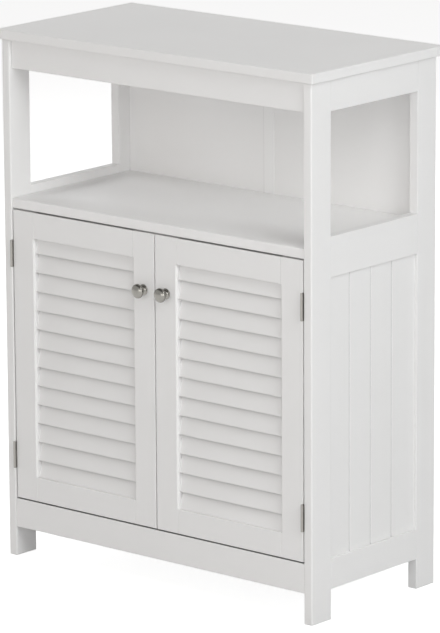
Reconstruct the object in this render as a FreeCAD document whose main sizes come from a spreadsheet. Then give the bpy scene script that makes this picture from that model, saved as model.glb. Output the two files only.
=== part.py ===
import FreeCAD, Part
import os
import re
import Sketcher
from FreeCAD import Placement, Rotation, Vector

# A free-standing cabinet: an open compartment with a window in each side, over a cupboard with
# two louvred doors.  Millimetres.  +X is to the right, +Y to the back and +Z up; the front faces
# -Y.  The origin is on the floor, under the middle of the overall box.

doc = FreeCAD.newDocument("LouvredDoorCabinet")
sheet = doc.addObject("Spreadsheet::Sheet", "Sizes")

# ---------------------------------------------------------------- driving sizes
DRIVING = [
    # top panel and how far it stands out over the case
    ("top_width", 600, "top panel, side to side"),
    ("top_depth", 300, "top panel, front to back"),
    ("top_thickness", 15, "top panel"),
    ("top_round", 2, "rounding of the top panel's edges"),
    ("side_overhang", 6, "top panel past each side"),
    ("front_overhang", 5, "top panel past the front posts"),
    ("back_overhang", 12, "top panel past the back posts"),
    # heights, from the floor up
    ("foot_height", 45, "floor to the lowest rails"),
    ("plinth_height", 44, "rail under the doors"),
    ("door_gap", 2, "slit round and between the doors"),
    ("door_height", 440, "each door"),
    ("shelf_thickness", 15, "fixed shelf"),
    ("open_height", 237, "open compartment, shelf to top panel"),
    # side frames
    ("board_thickness", 15, "posts, side rails, apron and plinth"),
    ("post_width", 43, "posts, front to back"),
    ("post_round", 2, "rounding of the posts' outer corners"),
    ("edge_ease", 0.6, "rounding of all other board edges"),
    ("side_top_rail_height", 45, "rail over the side window"),
    ("middle_rail_height", 59, "rail under the side window"),
    ("curb_height", 13, "middle rail above the fixed shelf"),
    ("bottom_rail_rise", 1, "lowest side rail above the cupboard floor"),
    ("bead_thickness", 6, "grooved side panel"),
    ("bead_recess", 5, "grooved side panel behind the frame's outer face"),
    ("bead_tongue", 4, "grooved side panel into the frame all round"),
    ("bead_pitch", 48.2, "distance between the V grooves"),
    ("bead_groove_count", 3, "V grooves in each side panel"),
    ("bead_groove_width", 3, "V groove, across"),
    # boards between the side frames
    ("apron_height", 43, "rail under the top panel"),
    ("apron_recess", 5, "apron behind the posts' front"),
    ("shelf_recess", 2, "fixed shelf behind the posts' front"),
    ("shelf_round", 2, "rounding of the fixed shelf's front edges"),
    ("plinth_recess", 0.5, "plinth rail behind the posts' front"),
    ("floor_thickness", 15, "cupboard floor"),
    ("back_thickness", 3, "back panels"),
    ("back_recess", 18, "back panels' front face to the posts' back"),
    ("back_tongue", 5, "back panels into the back posts"),
    ("strip_width", 18, "flanges of the joint strip"),
    ("strip_flange", 1, "thickness of the joint strip's flanges"),
    ("strip_web", 2, "web between the back panels"),
    ("strip_offset", 3.5, "joint strip left of the middle plane"),
    # doors
    ("door_thickness", 18, "door frames"),
    ("door_recess", 1, "doors behind the posts' front"),
    ("stile_width", 41, "upright door members"),
    ("stile_chamfer", 2.2, "stiles' inner front edges, along the slats"),
    ("door_top_rail", 39, "upper door rail"),
    ("door_bottom_rail", 37, "lower door rail"),
    ("slat_spacing", 28.7, "distance aimed at between slats"),
    ("slat_thickness", 5, "slat"),
    ("slat_round", 1.2, "rounding of the slat's long edges"),
    ("slat_tilt", 14, "slat from upright, degrees"),
    ("slat_recess", 3.5, "slats' front edges behind the door face"),
    ("slat_back_margin", 1.4, "slats before the door's back"),
    ("slat_drop", 22.7, "upper rail to the first slat's front edge"),
    ("slat_sink", 3.1, "last slat's front edge below the lower rail's top"),
    ("slat_housing", 5, "slat ends into the stiles"),
    ("slat_clearance", 0.6, "rebates in the rails round the slats"),
    # knobs
    ("knob_drop", 84.5, "door top to the knob"),
    ("knob_projection", 18, "knob, from the door face"),
    ("knob_head_radius", 11, "knob head"),
    ("knob_head_thickness", 9, "knob head, front to back"),
    ("knob_neck_radius", 4.5, "knob neck"),
    ("knob_rose_radius", 8, "knob foot on the door"),
    ("knob_rose_top_radius", 6.3, "knob foot, at its front"),
    ("knob_rose_thickness", 3, "knob foot, front to back"),
    ("knob_screw_radius", 2, "knob screw"),
    ("knob_screw_reach", 8, "knob screw into the knob"),
    ("knob_screw_head_radius", 4, "knob screw head"),
    ("knob_screw_head_height", 2.5, "knob screw head"),
    # hinges
    ("hinge_length", 40, "each hinge"),
    ("hinge_inset", 66, "door end to the hinge's middle"),
    ("barrel_radius", 2, "hinge knuckles"),
    ("barrel_clearance", 0.45, "hinge knuckles before the posts' front"),
    ("knuckle_length", 15, "middle knuckle, on the door leaf"),
    ("knuckle_gap", 0.3, "between knuckles, and round them"),
    ("leaf_gap", 0.2, "between the two leaves of a hinge"),
    ("leaf_depth", 16, "hinge leaves behind the posts' front"),
    ("pin_radius", 1, "hinge pin"),
    ("pin_clearance", 0.06, "hinge pin in the door leaf's knuckle"),
    # wood screws of the hinges, catches and strike plates
    ("screw_radius", 1.4, "wood screw"),
    ("screw_head_radius", 2.6, "wood screw head"),
    ("screw_head_height", 1.6, "wood screw head, where it has the room"),
    ("screw_length", 11, "wood screw in the wood"),
    ("leaf_screw_depth", 9, "leaf screws behind the posts' front"),
    ("leaf_screw_spread", 24, "between the two screws of a leaf"),
    # magnetic catches and strike plates
    ("catch_width", 36, "catch, side to side"),
    ("catch_depth", 14, "catch, front to back"),
    ("catch_height", 13, "catch under the fixed shelf"),
    ("catch_gap", 0.3, "strike plate to the magnet"),
    ("magnet_width", 18, "magnet"),
    ("magnet_depth", 6, "magnet"),
    ("magnet_height", 8, "magnet"),
    ("strike_width", 28, "strike plate"),
    ("strike_height", 9, "strike plate"),
    ("strike_inset", 1, "strike plate below the door's top"),
    ("strike_thickness", 1.2, "strike plate"),
    # adjustable shelf
    ("loose_shelf_thickness", 15, "adjustable shelf"),
    ("loose_shelf_rise", 207, "cupboard floor to the adjustable shelf"),
    ("loose_shelf_clearance", 1, "adjustable shelf to each side"),
    ("loose_shelf_front_gap", 5, "adjustable shelf behind the doors"),
    ("loose_shelf_back_gap", 2, "adjustable shelf before the joint strip"),
    ("peg_radius", 2.5, "shelf pin and its holes"),
    ("peg_depth", 9, "shelf pin into the post"),
    ("peg_pitch", 32, "distance between pin holes"),
    ("peg_hole_count", 5, "pin holes in each post"),
    ("tongue_length", 9, "shelf pin tongue under the shelf"),
    ("tongue_width", 7, "shelf pin tongue"),
    ("tongue_thickness", 3, "shelf pin tongue"),
    # dowels and cam fittings
    ("dowel_radius", 4, "case dowels"),
    ("dowel_length", 26, "case dowels"),
    ("dowel_reach", 10, "case dowels into a post or the top panel"),
    ("dowel_margin", 10, "dowels from a rail's edges"),
    ("door_dowel_radius", 3, "dowels in the doors"),
    ("door_dowel_length", 30, "dowels in the doors"),
    ("door_dowel_margin", 8, "door dowels from a rail's edge or its rebate"),
    ("cam_radius", 7.5, "cam disc"),
    ("cam_depth", 12, "cam disc"),
    ("cam_setback", 24, "cam disc from the joint"),
    ("cam_inset", 28, "cam fittings inside the posts"),
    ("plinth_cam_rise", 15, "cam disc above the plinth's lower edge"),
    ("bolt_radius", 3, "cam bolt"),
    ("bolt_grip", 3.5, "cam bolt into its disc"),
    # screws of the back panels
    ("back_screw_length", 12, "shank in the shelf's edge"),
    ("back_screw_head_radius", 3.5, "head"),
    ("back_screw_head_height", 1.8, "head"),
    ("back_screw_count", 3, "screws in each row, each side of the middle plane"),
    ("back_screw_first", 35, "first screw from the middle plane"),
    ("back_screw_margin", 44, "last screw from the side frame"),
]

# ---------------------------------------------------------------- places that follow from them
DERIVED = [
    ("case_half_width", "top_width / 2 - side_overhang"),
    ("inner_half_width", "case_half_width - board_thickness"),
    ("case_depth", "top_depth - front_overhang - back_overhang"),
    # Y of the posts' front, with the knobs and the top panel's back edge at the box's ends
    ("front_reach", "min(door_recess - knob_projection; -front_overhang)"),
    ("case_front", "-(case_depth + back_overhang + front_reach) / 2"),
    ("case_back", "case_front + case_depth"),
    ("front_post_back", "case_front + post_width"),
    ("back_post_front", "case_back - post_width"),
    ("rail_length", "case_depth - 2 * post_width"),
    ("post_middle_x", "inner_half_width + board_thickness / 2"),
    # heights
    ("plinth_top", "foot_height + plinth_height"),
    ("door_bottom", "plinth_top + door_gap"),
    ("door_top", "door_bottom + door_height"),
    ("shelf_bottom", "door_top + door_gap"),
    ("shelf_top", "shelf_bottom + shelf_thickness"),
    ("case_top", "shelf_top + open_height"),
    ("window_bottom", "shelf_top + curb_height"),
    ("window_top", "case_top - side_top_rail_height"),
    ("bead_top", "window_bottom - middle_rail_height"),
    ("bead_bottom", "plinth_top + bottom_rail_rise"),
    ("floor_bottom", "plinth_top - floor_thickness"),
    ("shelf_middle_z", "shelf_bottom + shelf_thickness / 2"),
    ("floor_middle_z", "floor_bottom + floor_thickness / 2"),
    # back panels and their joint strip
    ("back_front", "case_back - back_recess"),
    ("back_rear", "back_front + back_thickness"),
    # doors
    ("door_front", "case_front + door_recess"),
    ("door_back", "door_front + door_thickness"),
    ("door_inner_x", "door_gap / 2"),
    ("door_outer_x", "inner_half_width - door_gap"),
    ("meeting_stile_x", "door_inner_x + stile_width"),
    ("hinge_stile_x", "door_outer_x - stile_width"),
    ("opening_width", "hinge_stile_x - meeting_stile_x"),
    ("door_rail_bottom", "door_top - door_top_rail"),
    ("door_rail_top", "door_bottom + door_bottom_rail"),
    # slats: the front lower edge of the lowest one, and the Y where they pass the rails
    ("slat_front", "door_front + slat_recess"),
    ("slat_foot", "door_rail_top - slat_sink"),
    ("slat_field", "door_rail_bottom - slat_drop - slat_foot"),
    ("slat_count", "round(slat_field / slat_spacing) + 1"),
    ("slat_pitch", "slat_field / (slat_count - 1)"),
    ("slat_depth", "door_thickness - slat_recess - slat_back_margin"),
    ("slat_width", "(slat_depth - slat_thickness * cos(slat_tilt)) / sin(slat_tilt)"),
    ("slat_rise", "slat_width * cos(slat_tilt)"),
    ("slat_dip", "slat_thickness * sin(slat_tilt)"),
    ("upper_lip_back", "slat_front + slat_drop * tan(slat_tilt) - slat_clearance"),
    ("upper_rebate_top", "door_rail_bottom - slat_drop + slat_rise + slat_clearance"),
    ("lower_lip_back", "slat_front - slat_clearance"),
    ("lower_rebate_floor", "slat_foot - slat_dip - slat_clearance"),
    # knobs, in the middle of the meeting stiles
    ("knob_x", "door_inner_x + stile_width / 2"),
    ("knob_z", "door_top - knob_drop"),
    # hinges, in the slit between post and door
    ("hinge_x", "inner_half_width - door_gap / 2"),
    ("hinge_y", "case_front - barrel_clearance - barrel_radius"),
    ("leaf_thickness", "(door_gap - leaf_gap) / 2"),
    ("upper_hinge_z", "door_top - hinge_inset"),
    ("lower_hinge_z", "door_bottom + hinge_inset"),
    ("leaf_front", "hinge_y + barrel_radius + knuckle_gap"),
    ("leaf_back", "case_front + leaf_depth"),
    # adjustable shelf
    ("loose_shelf_bottom", "plinth_top + loose_shelf_rise"),
    ("loose_shelf_front", "door_back + loose_shelf_front_gap"),
    ("loose_shelf_back", "back_front - strip_flange - loose_shelf_back_gap"),
    ("peg_z", "loose_shelf_bottom - peg_radius"),
    ("front_peg_y", "(loose_shelf_front + front_post_back - bead_tongue) / 2"),
    ("back_peg_y", "(loose_shelf_back + back_post_front + bead_tongue) / 2"),
    # dowels
    ("plinth_back", "case_front + plinth_recess + board_thickness"),
    ("front_dowel_y", "(plinth_back + front_post_back - dowel_length / 2) / 2"),
    ("rear_dowel_y", "(back_front + back_post_front + dowel_length / 2) / 2"),
    ("front_cam_y", "front_post_back + cam_inset"),
    ("rear_cam_y", "back_post_front - cam_inset"),
    ("apron_middle_y", "case_front + apron_recess + board_thickness / 2"),
    ("plinth_middle_y", "plinth_back - board_thickness / 2"),
    ("bolt_length", "dowel_reach + cam_setback - cam_radius + bolt_grip"),
    ("back_screw_span", "inner_half_width - back_screw_margin - back_screw_first"),
    ("back_screw_spacing", "back_screw_span / (back_screw_count - 1)"),
]

ALIASES = [name for name, *_ in DRIVING + DERIVED]
ALIAS = re.compile(r"\b(" + "|".join(ALIASES) + r")\b")


def fill_sheet():
    """Driving sizes as plain numbers, then the places that are worked out from them."""
    row = 1
    for name, value, meaning in DRIVING:
        sheet.set("A{}".format(row), name + ": " + meaning)
        sheet.set("B{}".format(row), str(value))
        sheet.setAlias("B{}".format(row), name)
        row += 1
    doc.recompute()
    for name, formula in DERIVED:
        sheet.set("A{}".format(row), name)
        sheet.set("B{}".format(row), "=" + formula)
        sheet.setAlias("B{}".format(row), name)
        row += 1
        doc.recompute()


# ---------------------------------------------------------------- small helpers
PARTS = {}                      # node name -> the document object that is the sub-part

SIDES = ("left", "right")

ALONG = {                       # turns a cylinder's own Z to the axis named
    "x": Rotation(Vector(0, 1, 0), 90),
    "y": Rotation(Vector(1, 0, 0), -90),
    "z": Rotation(),
}


def on_sheet(text):
    """An expression in sheet aliases, as the document's objects read it."""
    return ALIAS.sub(r"Sizes.\1", str(text))


def value(text):
    """The number that an expression in sheet aliases has now."""
    return float(sheet.evalExpression(on_sheet(text)))


def bind(thing, where, text):
    """Ties a property to an expression in sheet aliases."""
    thing.setExpression(where, on_sheet(text))


def place(thing, x, y, z):
    """Ties a piece's position to three expressions."""
    for axis, text in zip("xyz", (x, y, z)):
        bind(thing, "Placement.Base." + axis, text)


def keep(node, thing):
    """Makes an object the sub-part of that name."""
    thing.Label = node
    PARTS[node] = thing
    return thing


def mirrored(side, inner, outer):
    """Low X of a piece that lies between inner and outer from the middle plane."""
    return inner if side == "right" else "-({})".format(outer)


def signed(side, distance):
    """X of a point at that distance from the middle plane."""
    return distance if side == "right" else "-({})".format(distance)


def moved(point, axis, step):
    """The point's three expressions, with a step added to the one along the axis."""
    return tuple("({}) {}".format(text, step) if key == axis else text
                 for key, text in point.items())


# ---------------------------------------------------------------- PartDesign pieces
def new_body(name, x, y, z):
    """An empty body, set in its place."""
    body = doc.addObject("PartDesign::Body", name)
    body.AllowCompound = True
    place(body, x, y, z)
    return body


def origin_feature(body, role):
    """One of the body's own base planes or axes."""
    return [item for item in body.Origin.OriginFeatures if item.Role == role][0]


def new_sketch(body, name, plane):
    """An empty sketch on one of the body's base planes."""
    sketch = body.newObject("Sketcher::SketchObject", name)
    sketch.AttachmentSupport = [(origin_feature(body, plane), "")]
    sketch.MapMode = "FlatFace"
    return sketch


def dimension(sketch, kind, name, text, *points):
    """A driving dimension of a sketch, tied to an expression."""
    index = sketch.addConstraint(Sketcher.Constraint(kind, *points, value(text)))
    sketch.renameConstraint(index, name)
    bind(sketch, "Constraints." + name, text)


def rectangle(sketch, width, height):
    """A rectangle from the sketch's origin."""
    corners = [(0, 0), (value(width), 0), (value(width), value(height)), (0, value(height))]
    for start, end in zip(corners, corners[1:] + corners[:1]):
        sketch.addGeometry(Part.LineSegment(Vector(*start, 0), Vector(*end, 0)))
    for line in range(4):
        sketch.addConstraint(Sketcher.Constraint("Coincident", line, 2, (line + 1) % 4, 1))
        direction = "Horizontal" if line % 2 == 0 else "Vertical"
        sketch.addConstraint(Sketcher.Constraint(direction, line))
    sketch.addConstraint(Sketcher.Constraint("Coincident", 0, 1, -1, 1))
    dimension(sketch, "DistanceX", "width", width, 0, 1, 0, 2)
    dimension(sketch, "DistanceY", "height", height, 1, 1, 1, 2)


def rounded_rectangle(sketch, width, height, radius):
    """A rectangle with rounded corners, its sides on the sketch's two axes."""
    w, h, r = value(width), value(height), value(radius)
    sides = [((r, 0), (w - r, 0)), ((w, r), (w, h - r)), ((w - r, h), (r, h)), ((0, h - r), (0, r))]
    centres = [(w - r, r), (w - r, h - r), (r, h - r), (r, r)]
    quarter = Part.Circle().LastParameter / 4
    for start, end in sides:
        sketch.addGeometry(Part.LineSegment(Vector(*start, 0), Vector(*end, 0)))
    for turn, centre in enumerate(centres):
        circle = Part.Circle(Vector(*centre, 0), Vector(0, 0, 1), r)
        sketch.addGeometry(Part.ArcOfCircle(circle, (turn - 1) * quarter, turn * quarter))
    for side in range(4):
        corner = side + 4
        sketch.addConstraint(Sketcher.Constraint("Tangent", side, 2, corner, 1))
        sketch.addConstraint(Sketcher.Constraint("Tangent", corner, 2, (side + 1) % 4, 1))
        direction = "Horizontal" if side % 2 == 0 else "Vertical"
        sketch.addConstraint(Sketcher.Constraint(direction, side))
    for corner in (5, 6, 7):
        sketch.addConstraint(Sketcher.Constraint("Equal", 4, corner))
    sketch.addConstraint(Sketcher.Constraint("PointOnObject", 0, 1, -1))
    sketch.addConstraint(Sketcher.Constraint("PointOnObject", 3, 1, -2))
    dimension(sketch, "Radius", "corner", radius, 4)
    dimension(sketch, "DistanceX", "width", width, 3, 2, 1, 1)
    dimension(sketch, "DistanceY", "height", height, 0, 1, 2, 2)


def pad(body, sketch, length):
    """Grows the sketch along its normal."""
    feature = body.newObject("PartDesign::Pad", body.Name + "_pad")
    feature.Profile = sketch
    bind(feature, "Length", length)
    sketch.Visibility = False
    doc.recompute()
    return feature


def edges_where(feature, test):
    """Names of the straight edges whose middle and direction pass the test."""
    names = []
    for number, edge in enumerate(feature.Shape.Edges, 1):
        if isinstance(edge.Curve, Part.Line) and test(edge.CenterOfMass, edge.Curve.Direction):
            names.append("Edge{}".format(number))
    return names


def ease(body, radius, names=None):
    """Rounds the named edges of the body's last feature, or all of them."""
    base = body.Tip
    feature = body.newObject("PartDesign::Fillet", body.Name + "_ease")
    feature.Base = (base, names or ["Edge1"])
    feature.UseAllEdges = names is None
    bind(feature, "Radius", radius)
    doc.recompute()
    return feature


def board(node, corner, size, radius="edge_ease"):
    """A plain board with its edges eased, from its low corner and its size."""
    body = new_body(node + "_board", *corner)
    sketch = new_sketch(body, node + "_outline", "XY_Plane")
    rectangle(sketch, size[0], size[1])
    pad(body, sketch, size[2])
    if radius:
        ease(body, radius)
    return body


# ---------------------------------------------------------------- primitives and booleans
def block(name, corner, size):
    """A plain box."""
    box = doc.addObject("Part::Box", name)
    place(box, *corner)
    for edge, text in zip(("Length", "Width", "Height"), size):
        bind(box, edge, text)
    return box


def rod(name, start, axis, length, radius):
    """A cylinder that runs from start along +X, +Y or +Z."""
    cylinder = doc.addObject("Part::Cylinder", name)
    cylinder.Placement = Placement(Vector(), ALONG[axis])
    place(cylinder, *start)
    bind(cylinder, "Height", length)
    bind(cylinder, "Radius", radius)
    return cylinder


def cone(name, start, axis, length, first_radius, last_radius):
    """A cone that runs from start along +X, +Y or +Z."""
    tapered = doc.addObject("Part::Cone", name)
    tapered.Placement = Placement(Vector(), ALONG[axis])
    place(tapered, *start)
    bind(tapered, "Height", length)
    bind(tapered, "Radius1", first_radius)
    bind(tapered, "Radius2", last_radius)
    return tapered


def diagonal_bar(name, x, low_y, low_z, half_width, height):
    """An upright square bar, turned to cut a V or a chamfer: low_y is its foremost corner."""
    side = "({}) * sqrt(2)".format(half_width)
    bar = block(name, (x, low_y, low_z), (side, side, height))
    bar.Placement.Rotation = Rotation(Vector(0, 0, 1), 45)
    return bar


def group(name, members):
    """Separate solids that count as one object."""
    compound = doc.addObject("Part::Compound", name)
    compound.Links = members
    return compound


def joined(name, members):
    """Solids that are one piece of material."""
    fusion = doc.addObject("Part::MultiFuse", name)
    fusion.Shapes = members
    fusion.Refine = True
    return fusion


def less(name, base, *tools):
    """The base with each tool cut away in turn."""
    for number, tool in enumerate(tools, 1):
        result = doc.addObject("Part::Cut", "{}_cut{}".format(name, number))
        result.Base = base
        result.Tool = tool
        base = result
    return base


# ---------------------------------------------------------------- fasteners
def wood_screw(name, face, axis, outward, head_length, shank_length):
    """A countersunk screw: face is the middle of its head, and outward is +1 or -1 on the axis."""
    point = dict(zip("xyz", face))
    if outward > 0:
        head_start = moved(point, axis, "- ({})".format(head_length))
        shank_start = moved(point, axis, "- ({}) - ({})".format(head_length, shank_length))
        radii = ("screw_radius", "screw_head_radius")
    else:
        head_start = moved(point, axis, "")
        shank_start = moved(point, axis, "+ ({})".format(head_length))
        radii = ("screw_head_radius", "screw_radius")
    head = cone(name + "_head", head_start, axis, head_length, *radii)
    shank = rod(name + "_shank", shank_start, axis, shank_length, "screw_radius")
    return joined(name, [head, shank])


def side_frame_dowels(side):
    """Two dowels at each end of each rail of a side frame."""
    rails = [
        ("bottom", "foot_height", "bead_bottom"),
        ("middle", "bead_top", "window_bottom"),
        ("top", "window_top", "case_top"),
    ]
    x = signed(side, "post_middle_x")
    dowels = []
    for rail, low, high in rails:
        for end, joint in (("front", "front_post_back"), ("back", "back_post_front")):
            for level, z in (("low", low + " + dowel_margin"), ("high", high + " - dowel_margin")):
                name = "_".join((side, rail, end, level, "dowel"))
                start = (x, joint + " - dowel_length / 2", z)
                dowels.append(rod(name, start, "y", "dowel_length", "dowel_radius"))
    return dowels


def board_end_dowels(side):
    """Dowels from the shelf, floor, apron and plinth into a side frame."""
    places = [
        ("shelf_front", "front_dowel_y", "shelf_middle_z"),
        ("shelf_back", "rear_dowel_y", "shelf_middle_z"),
        ("floor_front", "front_dowel_y", "floor_middle_z"),
        ("floor_back", "rear_dowel_y", "floor_middle_z"),
        ("apron_low", "apron_middle_y", "case_top - apron_height + dowel_margin"),
        ("apron_high", "apron_middle_y", "case_top - dowel_margin"),
        ("plinth_high", "plinth_middle_y", "plinth_top - dowel_margin"),
    ]
    outer = "inner_half_width + dowel_reach"
    start_x = mirrored(side, outer + " - dowel_length", outer)
    dowels = []
    for name, y, z in places:
        rod_name = "{}_{}_dowel".format(side, name)
        dowels.append(rod(rod_name, (start_x, y, z), "x", "dowel_length", "dowel_radius"))
    return dowels


def top_dowels(side):
    """Dowels from the posts up into the top panel."""
    dowels = []
    for end, y in (("front", "front_dowel_y"), ("back", "rear_dowel_y")):
        start = (signed(side, "post_middle_x"), y, "case_top + dowel_reach - dowel_length")
        dowels.append(rod("{}_top_{}_dowel".format(side, end), start, "z",
                          "dowel_length", "dowel_radius"))
    return dowels


def cam_fittings(side):
    """Cam bolts and the discs that they hook into, as two lists."""
    outer = "inner_half_width + dowel_reach"
    bolt_x = mirrored(side, outer + " - bolt_length", outer)
    disc_x = signed(side, "inner_half_width - cam_setback")
    lying = [                                   # boards whose disc is let in from below
        ("shelf_front", "front_cam_y", "shelf_bottom", "shelf_thickness"),
        ("shelf_back", "rear_cam_y", "shelf_bottom", "shelf_thickness"),
        ("floor_front", "front_cam_y", "floor_bottom", "floor_thickness"),
        ("floor_back", "rear_cam_y", "floor_bottom", "floor_thickness"),
    ]
    upright = [                                 # boards whose disc is let in from behind
        ("apron", "apron_middle_y", "case_top - apron_height / 2"),
        ("plinth", "plinth_middle_y", "foot_height + plinth_cam_rise"),
    ]
    bolts = []
    discs = []
    for name, y, low, thickness in lying:
        name = "{}_{}".format(side, name)
        bolt_z = "{} + {} / 2".format(low, thickness)
        bolts.append(rod(name + "_bolt", (bolt_x, y, bolt_z), "x", "bolt_length", "bolt_radius"))
        discs.append(rod(name + "_disc", (disc_x, y, low), "z", "cam_depth", "cam_radius"))
    for name, y, z in upright:
        name = "{}_{}".format(side, name)
        bolts.append(rod(name + "_bolt", (bolt_x, y, z), "x", "bolt_length", "bolt_radius"))
        disc_y = y + " + board_thickness / 2 - cam_depth"
        discs.append(rod(name + "_disc", (disc_x, disc_y, z), "y", "cam_depth", "cam_radius"))
    post_x = signed(side, "post_middle_x")
    side_disc_x = mirrored(side, "inner_half_width", "inner_half_width + cam_depth")
    for end, y in (("front", "front_cam_y"), ("back", "rear_cam_y")):
        name = "{}_top_{}".format(side, end)
        bolt_z = "case_top + dowel_reach - bolt_length"
        bolts.append(rod(name + "_bolt", (post_x, y, bolt_z), "z", "bolt_length", "bolt_radius"))
        disc_start = (side_disc_x, y, "case_top - cam_setback")
        discs.append(rod(name + "_disc", disc_start, "x", "cam_depth", "cam_radius"))
    return bolts, discs


def back_screws():
    """Pan head screws through the back panels into the shelf's and the floor's back edge."""
    screws = []
    for level, z in (("shelf", "shelf_middle_z"), ("floor", "floor_middle_z")):
        for side in SIDES:
            for number in range(round(value("back_screw_count"))):
                distance = "back_screw_first + back_screw_spacing * {}".format(number)
                name = "back_screw_{}_{}_{}".format(level, side, number + 1)
                x = signed(side, distance)
                shank = rod(name + "_shank", (x, "back_rear - back_screw_length - back_thickness", z),
                            "y", "back_screw_length + back_thickness", "screw_radius")
                head = rod(name + "_head", (x, "back_rear", z), "y",
                           "back_screw_head_height", "back_screw_head_radius")
                screws.append(joined(name, [shank, head]))
    return screws


def case_fasteners():
    """All that joins the case: dowels, cam bolts, cam discs and the back panels' screws."""
    dowels = []
    bolts = []
    discs = []
    for side in SIDES:
        dowels += side_frame_dowels(side) + board_end_dowels(side) + top_dowels(side)
        side_bolts, side_discs = cam_fittings(side)
        bolts += side_bolts
        discs += side_discs
    tools = {
        "dowels": keep("case_dowels", group("case_dowels", dowels)),
        "bolts": keep("cam_bolts", group("cam_bolts", bolts)),
        "disc_seats": group("cam_disc_seats", discs),
        "back_screws": keep("back_panel_screws", group("back_panel_screws", back_screws())),
    }
    keep("cam_discs", less("cam_discs", tools["disc_seats"], tools["bolts"]))
    return tools


# ---------------------------------------------------------------- hinges
def hinge_levels():
    """Name and middle height of the two hinges of a door."""
    return (("upper", "upper_hinge_z"), ("lower", "lower_hinge_z"))


def knuckle(name, side, low, high, leaf_inner, leaf_outer):
    """One knuckle and the neck that joins it to its leaf, from height low to height high."""
    length = "({}) - ({})".format(high, low)
    barrel = rod(name + "_barrel", (signed(side, "hinge_x"), "hinge_y", low), "z",
                 length, "barrel_radius")
    neck = block(name + "_neck", (mirrored(side, leaf_inner, leaf_outer), "hinge_y", low),
                 ("leaf_thickness", "leaf_front - hinge_y", length))
    return [barrel, neck]


def hinge_leaf(name, side, middle, leaf_inner, leaf_outer, spans):
    """A leaf in the slit beside the door, with a knuckle over each of its spans."""
    plate = block(name + "_plate",
                  (mirrored(side, leaf_inner, leaf_outer), "leaf_front", middle + " - hinge_length / 2"),
                  ("leaf_thickness", "leaf_back - leaf_front", "hinge_length"))
    members = [plate]
    for number, (low, high) in enumerate(spans, 1):
        members += knuckle("{}_knuckle{}".format(name, number), side, low, high,
                           leaf_inner, leaf_outer)
    return joined(name, members)


def leaf_screws(name, side, middle, face, towards_post):
    """The two screws of a leaf; face is the distance of their flat heads from the middle plane."""
    outward = -1 if (side == "right") == towards_post else 1
    screws = []
    for level, sign in (("high", "+"), ("low", "-")):
        z = "{} {} leaf_screw_spread / 2".format(middle, sign)
        screws.append(wood_screw("{}_{}".format(name, level),
                                 (signed(side, face), "case_front + leaf_screw_depth", z),
                                 "x", outward, "leaf_thickness", "screw_length"))
    return screws


def hinges():
    """Hinge leaves, pins and screws; returns the screws and the pins as cutting tools."""
    frame_leaves = []
    pins = []
    pin_bores = []
    frame_screws = []
    door_leaves = {}
    door_screws = {}
    frame_inner = "inner_half_width - leaf_thickness"
    door_outer = "door_outer_x + leaf_thickness"
    for side in SIDES:
        door_leaves[side] = []
        door_screws[side] = []
        for level, middle in hinge_levels():
            name = "{}_{}_hinge".format(side, level)
            bottom = middle + " - hinge_length / 2"
            top = middle + " + hinge_length / 2"
            inner_low = middle + " - knuckle_length / 2"
            inner_high = middle + " + knuckle_length / 2"
            outer_spans = [(bottom, inner_low + " - knuckle_gap"), (inner_high + " + knuckle_gap", top)]
            pin_start = (signed(side, "hinge_x"), "hinge_y", bottom)
            pins.append(rod(name + "_pin", pin_start, "z", "hinge_length", "pin_radius"))
            pin_bores.append(rod(name + "_pin_bore", pin_start, "z", "hinge_length",
                                 "pin_radius + pin_clearance"))
            frame_leaves.append(hinge_leaf(name + "_frame_leaf", side, middle, frame_inner,
                                           "inner_half_width", outer_spans))
            door_leaves[side].append(hinge_leaf(name + "_door_leaf", side, middle, "door_outer_x",
                                                door_outer, [(inner_low, inner_high)]))
            frame_screws += leaf_screws(name + "_frame_screw", side, middle, frame_inner, True)
            door_screws[side] += leaf_screws(name + "_door_screw", side, middle, door_outer, False)
    pin_group = keep("hinge_pins", group("hinge_pins", pins))
    bore_group = group("hinge_pin_bores", pin_bores)
    frame_screw_group = keep("hinge_frame_screws", group("hinge_frame_screws", frame_screws))
    leaves = group("hinge_frame_leaf_blanks", frame_leaves)
    keep("hinge_frame_leaves", less("hinge_frame_leaves", leaves, pin_group, frame_screw_group))
    tools = {"frame": frame_screw_group}
    for side in SIDES:
        screws = keep(side + "_door_hinge_screws",
                      group(side + "_door_hinge_screws", door_screws[side]))
        blanks = group(side + "_door_leaf_blanks", door_leaves[side])
        keep(side + "_door_hinge_leaves",
             less(side + "_door_hinge_leaves", blanks, bore_group, screws))
        tools[side] = screws
    return tools


# ---------------------------------------------------------------- side frames
def post(side, end, tools):
    """A post, a foot at its lower end: its outer corners are rounder than those at the rails."""
    node = "{}_{}_post".format(side, end)
    y = "case_front" if end == "front" else "back_post_front"
    body = board(node, (mirrored(side, "inner_half_width", "case_half_width"), y, "0"),
                 ("board_thickness", "post_width", "case_top"), radius=None)
    free_y = 0 if end == "front" else value("post_width")

    def outer_corner(middle, direction):
        return abs(direction.z) > 0.9 and abs(middle.y - free_y) < 1

    def rail_corner(middle, direction):
        return abs(direction.z) > 0.9 and abs(middle.y - free_y) > value("post_width") - 1

    ease(body, "post_round", edges_where(body.Tip, outer_corner))
    ease(body, "edge_ease", edges_where(body.Tip, rail_corner))
    keep(node, less(node, body, *tools))


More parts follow.
